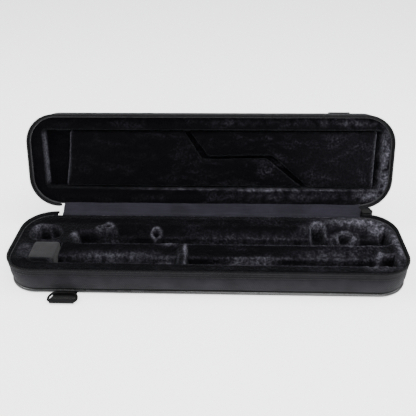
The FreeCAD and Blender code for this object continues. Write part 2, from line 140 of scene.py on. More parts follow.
def noise_node(tree, spot, scale, detail, **more):
    """Smooth noise at a place."""
    inputs = {"Vector": spot, "Scale": scale, "Detail": detail, **more}
    return add(tree, "ShaderNodeTexNoise", inputs).outputs["Fac"]


def new_material(name, roughness, specular, **sockets):
    """A principled material with its constant values set on the shader itself."""
    material = bpy.data.materials.new(name)
    material.use_nodes = True
    tree = material.node_tree
    shader = tree.nodes["Principled BSDF"]
    shader.inputs["Roughness"].default_value = roughness
    shader.inputs["Specular IOR Level"].default_value = specular
    for key, value in sockets.items():
        shader.inputs[key.replace("_", " ").title()].default_value = value
    return material, tree, shader


def raise_bumps(tree, shader, height, depth, strength):
    """Turns a height from 0 to 1 into bumps of that depth, in millimetres."""
    bump = add(tree, "ShaderNodeBump", {"Height": height, "Distance": depth * MM, "Strength": strength})
    tree.links.new(bump.outputs["Normal"], shader.inputs["Normal"])


# %% [markdown]
# ## Woven cloth
# Nylon cloth, zipper tape, webbing and binding are one idea with different numbers: warp and weft are two
# sine waves in the cloth's own coordinates, and their product stands up as bumps. A slow noise fades the dye
# a little, and a fine one puts lint on it. Waves are used, not an image, so the pitch is a real size.

# %% Woven finishes
def waves(tree, cloth, pitch, direction):
    """Bands of one pitch, in centimetres, across the cloth. A wave texture of scale 1 has 0.314 per band."""
    return add(
        tree, "ShaderNodeTexWave", {"Vector": cloth, "Scale": 0.314 / pitch, "Distortion": 0.0},
        wave_type="BANDS", bands_direction=direction,
    ).outputs["Fac"]


def woven(name, colour, faded, pitch_along, pitch_across, depth, roughness, sheen, twill=False):
    material, tree, shader = new_material(name, roughness, 0.08, sheen_weight=sheen, sheen_roughness=0.45)
    coords = add(tree, "ShaderNodeTexCoord")
    cloth, spot = coords.outputs["UV"], coords.outputs["Object"]
    across = waves(tree, cloth, pitch_across, "DIAGONAL" if twill else "Y")
    along = waves(tree, cloth, pitch_along, "X")
    warp = math_node(tree, "SUBTRACT", along, 0.5)
    weft = math_node(tree, "SUBTRACT", across, 0.5)
    threads = math_node(tree, "MULTIPLY_ADD", math_node(tree, "MULTIPLY", warp, weft), 2.0, 0.5)
    dye = noise_node(tree, spot, 55.0, 5.0)
    lint = noise_node(tree, spot, 1400.0, 2.0)
    share = math_node(tree, "MULTIPLY", threads, 0.4)
    share = math_node(tree, "MULTIPLY_ADD", ramp(tree, dye, 0.35, 0.7), 0.45, share)
    share = math_node(tree, "MULTIPLY_ADD", ramp(tree, lint, 0.6, 0.8), 0.3, share)
    tree.links.new(mixed(tree, share, colour, faded), shader.inputs["Base Color"])
    raise_bumps(tree, shader, math_node(tree, "MULTIPLY_ADD", lint, 0.25, threads), depth, 0.9)
    return material


nylon = woven("nylon cloth", grey(0.0040, 0.22), grey(0.0175, 0.22), 0.22, 0.22, 0.6, 0.75, 0.04)
hinge_nylon = woven("hinge cloth", grey(0.0050, 0.42), grey(0.0155, 0.42), 0.06, 0.06, 0.14, 0.65, 0.06)
tape = woven("zipper tape", grey(0.0026, 0.25), grey(0.0090, 0.25), 0.06, 0.09, 0.12, 0.75, 0.02, twill=True)
webbing = woven("webbing", grey(0.002, 0.1), grey(0.007, 0.1), 0.16, 0.055, 0.3, 0.6, 0.04)
binding_cloth = woven("binding tape", grey(0.012, 0.08), grey(0.030, 0.08), 0.05, 0.05, 0.1, 0.5, 0.15)
thread = woven("sewing thread", grey(0.005, 0.05), grey(0.012, 0.05), 0.03, 0.2, 0.06, 0.45, 0.05)

# %% [markdown]
# ## Plush
# Plush is a short upright pile. Seen along the fibres it is nearly black, and where they lean or part, as on
# every rounded edge, it shines. Sheen gives the glow at a glancing view. The lean of the pile is painted by
# two noises, one in broad strokes and one in fine ones. An attribute that the lining pieces carry paints a
# highlight in a pale colour, high where the surface bends outwards. Painted light also makes the plush lighter
# towards the right end. Modelled fibres would look alike and weigh millions of faces.

# %% The plush finish
def plush(name, deep, stroked, painted_sheen_colour):
    material, tree, shader = new_material(name, 0.95, 0.03, sheen_weight=0.03, sheen_roughness=0.3)
    shader.inputs["Sheen Tint"].default_value = (0.88, 0.93, 1.0, 1.0)
    coords = add(tree, "ShaderNodeTexCoord").outputs["Object"]
    drawn_out = add(tree, "ShaderNodeMapping", {"Vector": coords, "Scale": (0.45, 1.0, 1.0)}).outputs[0]
    strokes = noise_node(tree, drawn_out, 60.0, 7.0, Roughness=0.65, Distortion=0.8)
    tufts = noise_node(tree, coords, 420.0, 4.0)
    fibres = add(tree, "ShaderNodeTexVoronoi", {"Vector": coords, "Scale": 1500.0}).outputs["Distance"]
    painted_sheen = add(tree, "ShaderNodeAttribute", attribute_name="painted_sheen").outputs["Fac"]
    speckle = ramp(tree, tufts, 0.42, 0.66)
    # Painted light: the lighter pile colour is scaled up towards the right end, as if more light fell there.
    along = add(tree, "ShaderNodeSeparateXYZ", {"Vector": coords}).outputs["X"]
    painted_light_gradient = math_node(tree, "MULTIPLY_ADD", ramp(tree, along, -0.2, 0.2), 0.8, 0.2)
    lean_and_painted_light = math_node(tree, "MULTIPLY", ramp(tree, strokes, 0.48, 0.72), speckle)
    lean_and_painted_light = math_node(tree, "MULTIPLY", lean_and_painted_light, painted_light_gradient)
    colour = mixed(tree, lean_and_painted_light, deep, stroked)
    # Painted highlight: the attribute that the lining pieces carry mixes in a pale colour on edges and lumps.
    share = math_node(tree, "MULTIPLY", painted_sheen, math_node(tree, "MULTIPLY_ADD", speckle, 0.7, 0.3))
    tree.links.new(mixed(tree, share, colour, painted_sheen_colour), shader.inputs["Base Color"])
    height = math_node(tree, "MULTIPLY_ADD", tufts, 1.6, math_node(tree, "MULTIPLY", fibres, 0.5))
    raise_bumps(tree, shader, height, 1.3, 1.0)
    return material


plush_lining = plush("plush lining", grey(0.0018, 0.3), grey(0.024, 0.22), grey(0.13, 0.18))

# %% [markdown]
# ## Vinyl, coil, enamel and foam
# The piping is vinyl: smooth, with a soft gloss that is duller where it has been handled. The zipper's coil
# is drawn nylon wire, the rings and the slider are black enamel that has rubbed thin in patches, and the
# block is foam with closed cells, so its surface is pitted. One function with other numbers makes the first
# three. The foam has ribs and cells of its own, so it gets its own function.

# %% The other finishes
def moulded(name, colour, worn, roughness, scale, depth, specular):
    """A smooth finish with a fine grain and patches of wear."""
    material, tree, shader = new_material(name, roughness, specular)
    coords = add(tree, "ShaderNodeTexCoord").outputs["Object"]
    patches = noise_node(tree, coords, scale / 8, 4.0)
    grain = noise_node(tree, coords, scale, 3.0)
    wear = ramp(tree, patches, 0.5, 0.75)
    tree.links.new(mixed(tree, wear, colour, worn), shader.inputs["Base Color"])
    tree.links.new(math_node(tree, "MULTIPLY_ADD", wear, 0.2, roughness), shader.inputs["Roughness"])
    raise_bumps(tree, shader, grain, depth, 0.6)
    return material


vinyl = moulded("piping vinyl", grey(0.003, 0.2), grey(0.006, 0.2), 0.22, 900.0, 0.015, 0.6)
coil_nylon = moulded("coil nylon", grey(0.002, 0.2), grey(0.005, 0.2), 0.45, 2500.0, 0.04, 0.2)
enamel = moulded("black enamel", grey(0.002), grey(0.006), 0.55, 1500.0, 0.05, 0.1)
shell_foam = moulded("shell foam", grey(0.003), grey(0.006), 0.9, 1200.0, 0.2, 0.1)


def foam():
    """Closed cells with a dusty grey bloom, and the fine ribs that the cutting wire leaves."""
    material, tree, shader = new_material("spacer foam", 0.9, 0.1, sheen_weight=0.08, sheen_roughness=0.6)
    coords = add(tree, "ShaderNodeTexCoord").outputs["Object"]
    cells = add(tree, "ShaderNodeTexVoronoi", {"Vector": coords, "Scale": 1300.0}).outputs["Distance"]
    bloom = noise_node(tree, coords, 120.0, 6.0)
    ribs = add(
        tree, "ShaderNodeTexWave", {"Vector": coords, "Scale": 190.0, "Distortion": 0.6, "Detail": 1.0},
        wave_type="BANDS", bands_direction="Y",
    ).outputs["Fac"]
    share = math_node(tree, "MULTIPLY", ramp(tree, bloom, 0.3, 0.75), ramp(tree, cells, 0.1, 0.6))
    share = math_node(tree, "MULTIPLY_ADD", ribs, 0.25, share)
    tree.links.new(mixed(tree, share, grey(0.006, 0.08), grey(0.016, 0.08)), shader.inputs["Base Color"])
    raise_bumps(tree, shader, math_node(tree, "MULTIPLY_ADD", cells, 0.6, ribs), 0.25, 0.8)
    return material


# Each finish by its short name: the material, and the slot of the record that it belongs to.
finishes = {
    "cover": (nylon, "nylon_cover"),
    "hinge": (hinge_nylon, "hinge_cloth"),
    "tape": (tape, "zipper_tape"),
    "webbing": (webbing, "webbing"),
    "binding": (binding_cloth, "binding"),
    "thread": (thread, "nylon_cover"),
    "plush": (plush_lining, "plush"),
    "pad": (plush_lining, "plush_pad"),
    "piping": (vinyl, "piping"),
    "coil": (coil_nylon, "zipper_coil"),
    "foam": (foam(), "block_foam"),
}
print("finishes:", ", ".join(finishes))

# %% [markdown]
# ## Making a piece
# A piece is points, faces and a cloth map. The helpers below put it in its half, turn its faces outwards and
# give it its finish and its body. Grids of points cover every swept and spread-out piece, so one function
# writes their faces and their cloth coordinates, also where a grid closes on itself.

# %% From points to a piece
def dress(obj, body, finish, replaced=()):
    material, slot = finishes[finish]
    obj.data.materials.clear()
    obj.data.materials.append(material)
    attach(obj, body)
    if replaced:
        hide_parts(*replaced)
    return obj


def put(name, data):
    """An object of that data in the scene."""
    obj = bpy.data.objects.new(name, data)
    bpy.context.scene.collection.objects.link(obj)
    return obj


def shade_smooth(mesh):
    mesh.polygons.foreach_set("use_smooth", [True] * len(mesh.polygons))


def face_outwards(mesh):
    work = bmesh.new()
    work.from_mesh(mesh)
    bmesh.ops.remove_doubles(work, verts=work.verts, dist=1e-7)
    bmesh.ops.recalc_face_normals(work, faces=work.faces)
    work.to_mesh(mesh)
    work.free()


def make_piece(name, half, points, faces, cloth):
    """A closed mesh from own places. cloth is in centimetres, for each corner of the first faces."""
    mesh = bpy.data.meshes.new(name)
    mesh.from_pydata(place(points, half).tolist(), [], faces)
    layer = mesh.uv_layers.new(name="cloth")
    flat = np.zeros((len(mesh.loops), 2), np.float32)
    flat[:cloth.size // 2] = cloth.reshape(-1, 2)
    layer.data.foreach_set("uv", flat.ravel())
    face_outwards(mesh)
    shade_smooth(mesh)
    return put(name, mesh)


def grid(rows, columns, close_rows, close_columns, along, across):
    """Faces of a grid of points, and the cloth map of their corners from its two lists of lengths, in mm."""
    row_steps = rows if close_rows else rows - 1
    column_steps = columns if close_columns else columns - 1
    r, c = np.meshgrid(np.arange(row_steps), np.arange(column_steps), indexing="ij")
    corners = ((0, 0), (1, 0), (1, 1), (0, 1))
    faces = np.stack([((r + i) % rows) * columns + (c + j) % columns for i, j in corners], -1)
    cloth = np.stack([np.stack([along[r + i], across[c + j]], -1) for i, j in corners], -2) / 10
    return faces.reshape(-1, 4), cloth.reshape(-1, 4, 2)


def capped(faces, rows, columns):
    """The faces of an open tube of points, with one face over each end."""
    first, last = list(range(columns)), list(range((rows - 1) * columns, rows * columns))
    return faces.tolist() + [first, last[::-1]]


def path_lengths(points):
    """How far along a line of points each one lies."""
    steps = np.linalg.norm(np.diff(points, axis=0), axis=1)
    return np.concatenate([[0], np.cumsum(steps)])


# %% [markdown]
# ## The rim
# Walls, tape, teeth, binding and piping all follow the rim: a long rectangle with round corners. Moving a
# point inwards along the rim's normal gives every inner outline, so a piece is only a section of insets and
# levels, carried along the path. A slow ripple keeps long runs from looking machined.

# %% The rim's path and what is swept along it
corner_steps, path_step = 20, 3.0
slider_flare, far_flare = 0.5, 0.3
flare_foot, flare_rise = 8.0, 24.0


def rim_path(step, whole):
    """Places, outward normals and lengths along the rim, from its rear side's left end round the front."""
    x, y, r = rim_length / 2 - rim_corner_radius, rim_width / 2 - rim_corner_radius, rim_corner_radius
    centres = [(-x, y), (-x, -y), (x, -y), (x, y)]
    points, normals = [], []
    for k, centre in enumerate(centres):
        for share in np.linspace(0, 1, corner_steps + 1):
            angle = math.radians(90 * (k + 1 + share))
            normals.append((math.cos(angle), math.sin(angle)))
            points.append((centre[0] + r * normals[-1][0], centre[1] + r * normals[-1][1]))
        if k < 3 or whole:
            target = centres[(k + 1) % 4]
            start = np.array(points[-1])
            end = np.array([target[0] + r * normals[-1][0], target[1] + r * normals[-1][1]])
            count = int(np.linalg.norm(end - start) / step)
            for share in np.arange(1, count) / count:
                points.append(tuple(start + share * (end - start)))
                normals.append(normals[-1])
    return np.array(points), np.array(normals), path_lengths(np.array(points + points[:1]))


def step_up(value, low, high):
    """0 below low, 1 above high, and a smooth step between."""
    share = np.clip((value - low) / (high - low), 0, 1)
    return share * share * (3 - 2 * share)


def flare(points):
    """How far the zipper draws the rims together at the ends of the hinge, most at the slider."""
    ends = np.where(points[:, 0] > 0, slider_flare, far_flare)
    return ends * step_up(np.abs(points[:, 0]), 166, 200) * step_up(points[:, 1], 18, 50)


def soft_noise(places, size, seed):
    """Smooth noise from -1 to 1 at each place, with swells about that size, in millimetres."""
    return np.array([noise.noise(Vector((p[0] / size, p[1] / size, seed))) for p in places])


def noise_over(x, y, size, seed, stretch=(1.0, 1.0)):
    """The same noise for each point of a grid."""
    places = np.stack([x.ravel(), y.ravel()], 1) * np.array(stretch)
    return soft_noise(places, size, seed).reshape(x.shape)


def swept(name, half, section, whole, ripple):
    """A closed section of (inset, level) points carried along the rim."""
    points, normals, lengths = rim_path(path_step, whole)
    section = np.array(section, float)
    sway = ripple * soft_noise(points, 38.0, 3.1 if half == "base" else 7.7)
    lift = ripple * soft_noise(points, 31.0, 5.3 if half == "base" else 9.1)
    inset = section[None, :, 0] + sway[:, None]
    flat = points[:, None, :] - inset[..., None] * normals[:, None, :]
    flared = np.clip((section[:, 1] - flare_foot) / flare_rise, 0, 1)
    level = section[None, :, 1] + 0.6 * lift[:, None] + flare(points)[:, None] * flared[None, :]
    places = np.concatenate([flat, level[..., None]], -1).reshape(-1, 3)
    across = path_lengths(np.vstack([section, section[:1]]))
    rows, columns = len(points), len(section)
    faces, cloth = grid(rows, columns, whole, True, lengths, across)
    return make_piece(name, half, places, faces.tolist() if whole else capped(faces, rows, columns), cloth)


def rounded_section(low_inset, low, high_inset, high, thickness, bulge, steps=6):
    """The section of a standing wall of cloth: it bows outwards a little and its edges are rolled."""
    shares = np.linspace(0, 1, steps + 1)
    bow = bulge * np.sin(np.pi * shares)
    insets = low_inset + (high_inset - low_inset) * shares
    levels = low + (high - low) * shares
    outer = list(zip(insets - bow, levels))
    inner = list(zip(insets - bow + thickness, levels))[::-1]
    roll = 0.3 * thickness
    top = [(high_inset + share * thickness, high + roll) for share in (0.2, 0.8)]
    foot = [(low_inset + share * thickness, low - roll) for share in (0.8, 0.2)]
    return outer + top + inner + foot


# %% [markdown]
# ## Side walls
# Below the zipper each half is wrapped in nylon cloth. It is glued to the foam shell, so it is taut, but it
# bows out slightly between the piping and the tape. A swept section with a small bulge is enough; cloth
# simulation would only return the same taut wall.

# %% Side walls
side_inset, cover_thickness, band_height = 1.2, 1.2, 8.8
wall_bulge, wall_foot, wall_lean = 1.1, 6.0, 1.2

for half in ("base", "lid"):
    wall_top = depth_of[half] - band_height - 0.5
    section = rounded_section(
        side_inset + wall_lean, wall_foot, side_inset, wall_top, cover_thickness, wall_bulge,
    )
    wall = swept(half + "_nylon_wall", half, section, True, 0.25)
    dress(wall, half, "cover", [half + "_side_cover"])
    print(wall.name, len(wall.data.polygons), "faces")

# %% [markdown]
# ## The outer covers
# The base's underside and the lid's top are flat panels of the same cloth, let in between the piping. A
# grid is laid inside the rim so that its ends follow the round corners, and its height is a soft crown. The
# lid's stands up by under a millimetre and the base's is drawn in, so that the case rests on its piping.

# %% A grid that fills the rim, and the two covers
def rim_grid(inset, step, rows):
    """Own x and y of a grid inside the rim: its columns crowd towards the ends, where the outline turns."""
    x, y, r = rim_length / 2 - inset, rim_width / 2 - inset, rim_corner_radius - inset
    corner_columns = int(r * math.pi / 2 / step)
    turn = np.linspace(0, math.pi / 2, corner_columns + 1)[:-1]
    left = -(x - r) - r * np.cos(turn)
    middle = np.linspace(-(x - r), x - r, int(2 * (x - r) / step) + 1)
    columns = np.concatenate([left, middle, -left[::-1]])
    past = np.clip(np.abs(columns) - (x - r), 0, r)
    reach = y - r + np.sqrt(r * r - past * past)
    shares = np.linspace(-1, 1, rows)
    return np.repeat(columns[:, None], rows, 1), reach[:, None] * shares[None, :]


def spread(name, half, x, y, level, floor, painted_sheen=None):
    """A closed block whose upper face is a grid of levels and whose foot is flat."""
    rows, columns = x.shape
    top = np.stack([x, y, level], -1).reshape(-1, 3)
    index = np.arange(rows * columns).reshape(rows, columns)
    edge = np.concatenate([index[:, 0], index[-1, 1:], index[-2::-1, -1], index[0, -2:0:-1]])
    foot = top[edge].copy()
    foot[:, 2] = floor
    faces, cloth = grid(rows, columns, False, False, x[:, columns // 2] - x.min(), y[rows // 2] - y.min())
    start = rows * columns
    ring = np.arange(len(edge))
    after = (ring + 1) % len(edge)
    sides = np.stack([edge[ring], edge[after], start + after, start + ring], -1)
    side_cloth = top[sides[:, [0, 1, 1, 0]], :2] / 10
    every = faces.tolist() + sides.tolist() + [(start + ring).tolist()]
    piece = make_piece(name, half, np.vstack([top, foot]), every, np.concatenate([cloth, side_cloth]))
    # Each top point keeps its painted highlight as an attribute for the plush finish.
    if painted_sheen is not None:
        values = np.zeros(len(piece.data.vertices), np.float32)
        values[:start] = painted_sheen.ravel()
        piece.data.attributes.new("painted_sheen", "FLOAT", "POINT").data.foreach_set("value", values)
    return piece


piping_path_inset, piping_radius = 3.2, 2.2

for half, node, crown in (("base", "bottom_cover", -0.5), ("lid", "top_cover", 0.9)):
    x, y = rim_grid(piping_path_inset, 4.0, 29)
    reach_x, reach_y = rim_length / 2 - piping_path_inset, rim_width / 2 - piping_path_inset
    dome = 1 - np.maximum(np.abs(x) / reach_x, np.abs(y) / reach_y) ** 6
    sway = 0.25 * noise_over(x, y, 30.0, 1.7)
    level = 0.7 - (crown + sway) * dome
    cover = spread(half + "_flat_panel", half, x, y, level, 2.0)
    dress(cover, half, "cover", [half + "_" + node])
    print(cover.name, "%.1f mm to %.1f mm deep" % (level.min(), level.max()))

# %% [markdown]
# ## Geometry Nodes along the rim
# Piping, teeth and stitches all repeat or run along a path. Each gets a small tree, built here: it takes a
# curve, has named inputs for its sizes, and ends in Realize Instances and Set Material, because instances
# are lost on export. The helper puts the tree on a temporary curve in the half's own drawing, sets the
# inputs by their socket identifiers, turns the result into a mesh and moves that into the half.

# %% Running a tree on a path
def new_tree(name, sizes):
    """An empty tree with a geometry in and out, a material and named sizes."""
    tree = bpy.data.node_groups.new(name, "GeometryNodeTree")
    tree.interface.new_socket("Geometry", in_out="INPUT", socket_type="NodeSocketGeometry")
    tree.interface.new_socket("Geometry", in_out="OUTPUT", socket_type="NodeSocketGeometry")
    tree.interface.new_socket("Finish", in_out="INPUT", socket_type="NodeSocketMaterial")
    for label, value in sizes.items():
        item = tree.interface.new_socket(label, in_out="INPUT", socket_type="NodeSocketFloat")
        item.default_value = value
    inputs = tree.nodes.new("NodeGroupInput")
    return tree, inputs.outputs


def close_tree(tree, inputs, geometry):
    """Realizes what the tree made, gives it its material and hands it out."""
    real = add(tree, "GeometryNodeRealizeInstances", {"Geometry": geometry})
    painted = add(tree, "GeometryNodeSetMaterial", {
        "Geometry": real.outputs[0], "Material": inputs["Finish"],
    })
    output = tree.nodes.new("NodeGroupOutput")
    tree.links.new(painted.outputs[0], output.inputs["Geometry"])
    return tree


def run_tree(name, half, path, closed, tree, finish, sizes):
    """Grows the tree on a curve through own places and returns the result as a piece of that half."""
    curve = bpy.data.curves.new(name + "_path", "CURVE")
    curve.dimensions = "3D"
    spline = curve.splines.new("POLY")
    spline.points.add(len(path) - 1)
    spline.points.foreach_set("co", np.hstack([path, np.ones((len(path), 1))]).ravel())
    spline.use_cyclic_u = closed
    guide = put(name + "_path", curve)
    modifier = guide.modifiers.new("tree", "NODES")
    modifier.node_group = tree
    wanted = {"Finish": finishes[finish][0], **sizes}
    for item in tree.interface.items_tree:
        if item.in_out == "INPUT" and item.name in wanted:
            modifier[item.identifier] = wanted[item.name]
    evaluated = guide.evaluated_get(bpy.context.evaluated_depsgraph_get())
    mesh = bpy.data.meshes.new_from_object(evaluated)
    bpy.data.objects.remove(guide)
    bpy.data.curves.remove(curve)
    return settle(name, half, mesh)


def settle(name, half, mesh):
    """Moves a mesh drawn in own millimetres into its half, with its faces outwards."""
    places = np.zeros(len(mesh.vertices) * 3)
    mesh.vertices.foreach_get("co", places)
    mesh.vertices.foreach_set("co", place(places, half).ravel())
    if half == "lid":
        mesh.flip_normals()
    shade_smooth(mesh)
    mesh.name = name
    return put(name, mesh)


# %% [markdown]
# ## Piping
# A cord wrapped in vinyl runs round each half's outer edge and takes the knocks. The tree sweeps a circle
# along the rim and swells it a little with noise, as the wrapping does where it turns the corners.

# %% Piping
def piping_tree():
    tree, inputs = new_tree("piping", {"Radius": piping_radius, "Swell": 0.1})
    ring = add(tree, "GeometryNodeCurvePrimitiveCircle", {"Resolution": 14, "Radius": inputs["Radius"]})
    bumps = add(tree, "ShaderNodeTexNoise", {"Scale": 0.11, "Detail": 1.0}).outputs["Fac"]
    from_middle = math_node(tree, "SUBTRACT", bumps, 0.5)
    size = math_node(tree, "MULTIPLY_ADD", from_middle, inputs["Swell"], 1.0)
    tube = add(tree, "GeometryNodeCurveToMesh", {
        "Curve": inputs["Geometry"], "Profile Curve": ring.outputs[0], "Scale": size, "Fill Caps": True,
    })
    return close_tree(tree, inputs, tube.outputs[0])


def path_at(inset, level, step=path_step, whole=False, flared=0.0):
    """A line of points that follows the rim at one inset and level."""
    points, normals = rim_path(step, whole)[:2]
    return np.hstack([points - inset * normals, (level + flared * flare(points))[:, None]])


piping = piping_tree()
piping_sizes = {"Radius": piping_radius, "Swell": 0.12}
for half in ("base", "lid"):
    path = path_at(piping_path_inset, piping_radius, step=4.0, whole=True)
    bead = run_tree(half + "_piping_cord", half, path, True, piping, "piping", piping_sizes)
    dress(bead, half, "piping", [half + "_piping"])
    print(bead.name, len(bead.data.polygons), "faces")

# %% [markdown]
# ## Zipper tape
# The tape stands up from the wall and flares out to the teeth. Its lower edge is turned under and sewn down
# over the nylon, so it is a little proud there. It stops at both ends of the hinge.

# %% Zipper tape
for half in ("base", "lid"):
    depth = depth_of[half]
    band_low = depth - band_height
    section = [
        (1.3, band_low - 0.1), (0.75, band_low + 0.1), (0.55, band_low + 0.6), (0.7, band_low + 2.2),
        (0.35, band_low + 5.0), (0.05, depth - 1.9), (0.35, depth - 0.9), (1.1, depth - 0.55),
        (1.6, depth - 1.6), (1.6, band_low + 5.0), (2.2, band_low + 2.4), (2.3, band_low + 0.4),
        (2.0, band_low - 0.1),
    ]
    band = swept(half + "_zip_tape", half, section, False, 0.3)
    dress(band, half, "tape", [half + "_zipper_tape"])

# %% [markdown]
# ## Zipper teeth
# A coil zipper has a nylon wire wound in loops and flattened. One loop is a short bent rod of a few dozen
# faces, and the tree sets one at every pitch along the rim, turned to the path.

# %% Teeth
tooth_pitch, tooth_thickness = 1.25, 0.74


def rod_mesh(name, line, radius, sides):
    """A thin rod through a few points, closed at both ends."""
    line = np.array(line, float)
    points = []
    for point, ahead in zip(line, np.gradient(line, axis=0)):
        ahead = Vector(ahead).normalized()
        side = ahead.orthogonal() if abs(ahead.x) > 0.9 else ahead.cross(Vector((1, 0, 0)))
        side.normalize()
        up = ahead.cross(side)
        for k in range(sides):
            angle = 2 * math.pi * k / sides
            points.append(list(Vector(point) + radius * (math.cos(angle) * side + math.sin(angle) * up)))
    faces = grid(len(line), sides, False, True, np.arange(len(line)), np.arange(sides + 1))[0]
    mesh = bpy.data.meshes.new(name)
    mesh.from_pydata(points, [], capped(faces, len(line), sides))
    face_outwards(mesh)
    return mesh


def repeat_tree(name, unit, pitch):
    """Sets one unit at every pitch along the curve: its x runs along the path and its z stays up."""
    tree, inputs = new_tree(name, {"Pitch": pitch, "Jitter": 0.0})
    spaced = add(tree, "GeometryNodeResampleCurve", {"Curve": inputs["Geometry"]}, mode="LENGTH")
    tree.links.new(inputs["Pitch"], spaced.inputs["Length"])
    tangent = tree.nodes.new("GeometryNodeInputTangent").outputs[0]
    kept = add(tree, "GeometryNodeCaptureAttribute", {"Geometry": spaced.outputs[0]}, domain="POINT")
    kept.capture_items.new("VECTOR", "ahead")
    tree.links.new(tangent, kept.inputs[1])
    points = add(tree, "GeometryNodeCurveToPoints", {"Curve": kept.outputs[0]}, mode="EVALUATED")
    turn = add(
        tree, "FunctionNodeAlignRotationToVector", {"Vector": kept.outputs[1]}, axis="X", pivot_axis="Z",
    )
    shape = add(tree, "GeometryNodeObjectInfo", {"Object": unit})
    dice = add(tree, "FunctionNodeRandomValue", {"Seed": 4}, data_type="FLOAT_VECTOR").outputs[0]
    middle = (0.5, 0.5, 0.5)
    centred = add(tree, "ShaderNodeVectorMath", {0: dice, 1: middle}, operation="SUBTRACT").outputs[0]
    shake = add(tree, "ShaderNodeVectorMath", {0: centred, "Scale": inputs["Jitter"]}, operation="SCALE")
    moved = add(tree, "GeometryNodeSetPosition", {"Geometry": points.outputs[0], "Offset": shake.outputs[0]})
    placed = add(tree, "GeometryNodeInstanceOnPoints", {
        "Points": moved.outputs[0], "Instance": shape.outputs["Geometry"], "Rotation": turn.outputs[0],
    })
    return close_tree(tree, inputs, placed.outputs[0])


half_pitch = tooth_pitch / 2
loop = [
    (-0.3 * half_pitch, 1.25, -0.75), (-0.1 * half_pitch, 0.2, -0.85), (0.0, -0.8, -0.55),
    (0.1 * half_pitch, -1.15, 0.0), (0.2 * half_pitch, -0.8, 0.6), (0.3 * half_pitch, 0.2, 0.85),
    (0.5 * half_pitch, 1.25, 0.75),
]
tooth = put("tooth", rod_mesh("tooth", loop, tooth_thickness / 2, 6))
teeth_tree = repeat_tree("zipper teeth", tooth, tooth_pitch)
for half in ("base", "lid"):
    path = path_at(1.1, depth_of[half] - 1.25, flared=1.0)
    teeth = run_tree(half + "_coil_teeth", half, path, False, teeth_tree, "coil", {"Pitch": tooth_pitch})
    dress(teeth, half, "coil", [half + "_zipper_coil"])
    print(teeth.name, len(teeth.data.polygons), "faces")

# %% [markdown]
# ## Stitches
# A stitch is a short thread that dips into the cloth at both ends. The tree that sets the teeth also sets
# the stitches, each a little out of line, in two rows along the tape: one near its lower edge and one
# halfway up.

# %% Rows of stitches
stitch_pitch, stitch_length, thread_radius = 3.4, 2.6, 0.24
dip = [
    (-0.5 * stitch_length, 0, -0.3), (-0.36 * stitch_length, 0, 0.02), (0, 0, 0.14),
    (0.36 * stitch_length, 0, 0.02), (0.5 * stitch_length, 0, -0.3),
]
stitch = put("stitch", rod_mesh("stitch", dip, thread_radius, 6))
stitch_tree = repeat_tree("stitches", stitch, stitch_pitch)


def join(name, objects):
    """Joins meshes into the first one."""
    work = bmesh.new()
    for obj in objects:
        work.from_mesh(obj.data)
    work.to_mesh(objects[0].data)
    work.free()
    for obj in objects[1:]:
        bpy.data.objects.remove(obj)
    shade_smooth(objects[0].data)
    objects[0].name = name
    return objects[0]


def stitch_rows(name, half, paths):
    """Several rows of stitches as one piece."""
    sizes = {"Pitch": stitch_pitch, "Jitter": 0.16}
    rows = [run_tree(name, half, path, False, stitch_tree, "thread", sizes) for path in paths]
    return dress(join(name, rows), half, "thread")


for half in ("base", "lid"):
    band_low = depth_of[half] - band_height
    rows = [
        path_at(0.5, band_low + 1.2, flared=0.7),
        path_at(0.3, band_low + 4.4, flared=0.85),
    ]
    sewn = stitch_rows(half + "_seam_stitches", half, rows)
    print(sewn.name, len(sewn.data.polygons), "faces")

# %% [markdown]
# ## Binding
# Where the lining meets the tape its raw edge is covered by a narrow folded tape. It faces the light and
# shows as the thin bright line just inside the rim.

# %% Binding
lining_drop = 6.2

for half in ("base", "lid"):
    level = depth_of[half] - lining_drop
    section = [
        (2.45, level - 1.6), (2.2, level + 0.6), (2.5, level + 1.5), (3.1, level + 1.8),
        (3.8, level + 1.4), (4.1, level), (3.9, level - 1.6),
    ]
    edge = swept(half + "_lining_binding", half, section, True, 0.2)
    dress(edge, half, "binding", [half + "_binding"])

# %% [markdown]
# ## The base's lining
# A block of foam, hollowed for the three joints of the instrument, with plush pressed over it. The plush
# can't follow a sharp edge, so it rounds every one, bulges beside the channels and gathers in the corners.
# That is a field of heights: each hollow is a formula for its depth, the lowest wins, and the whole field is
# smoothed by about the thickness of the pile. What the smoothing takes off at outer edges is where the pile
# parts, and there the same field places a painted highlight, with painted glow on listed lumps.

# %% Heights of the hollows
lining_top = base_depth - lining_drop
tube_radius = 10.5
channel_floor = lining_top - 17.5
rear_middle, front_middle = 13.0, -26.5
body_ends, head_ends, foot_ends = (-151.0, 201.0), (-22.0, 205.0), (-168.0, -32.5)
front_shelf_rear = -0.5
well_front, well_depth, well_corner = 2.5, 18.5, 4.0


def smoothed(field, passes):
    """Blurs a grid of values by a few passes over its neighbours."""
    for _ in range(passes):
        wide = np.pad(field, 1, mode="edge")
        beside = wide[:-2, 1:-1] + wide[2:, 1:-1] + wide[1:-1, :-2] + wide[1:-1, 2:]
        field = (beside + 4 * field) / 8
    return field


def tube_hollow(x, y, x0, x1, middle):
    """Round below, upright above, with lips that open at 45 degrees. Outside it there is no hollow."""
    away = np.abs(y - middle)
    centre = channel_floor + tube_radius
    round_part = centre - np.sqrt(np.clip(tube_radius ** 2 - away ** 2, 0, None))
    lip = lining_top - 2.5 + (away - tube_radius)
    depth = np.where(away < tube_radius, round_part, np.minimum(lip, lining_top))
    return np.where((x > x0) & (x < x1), depth, lining_top)


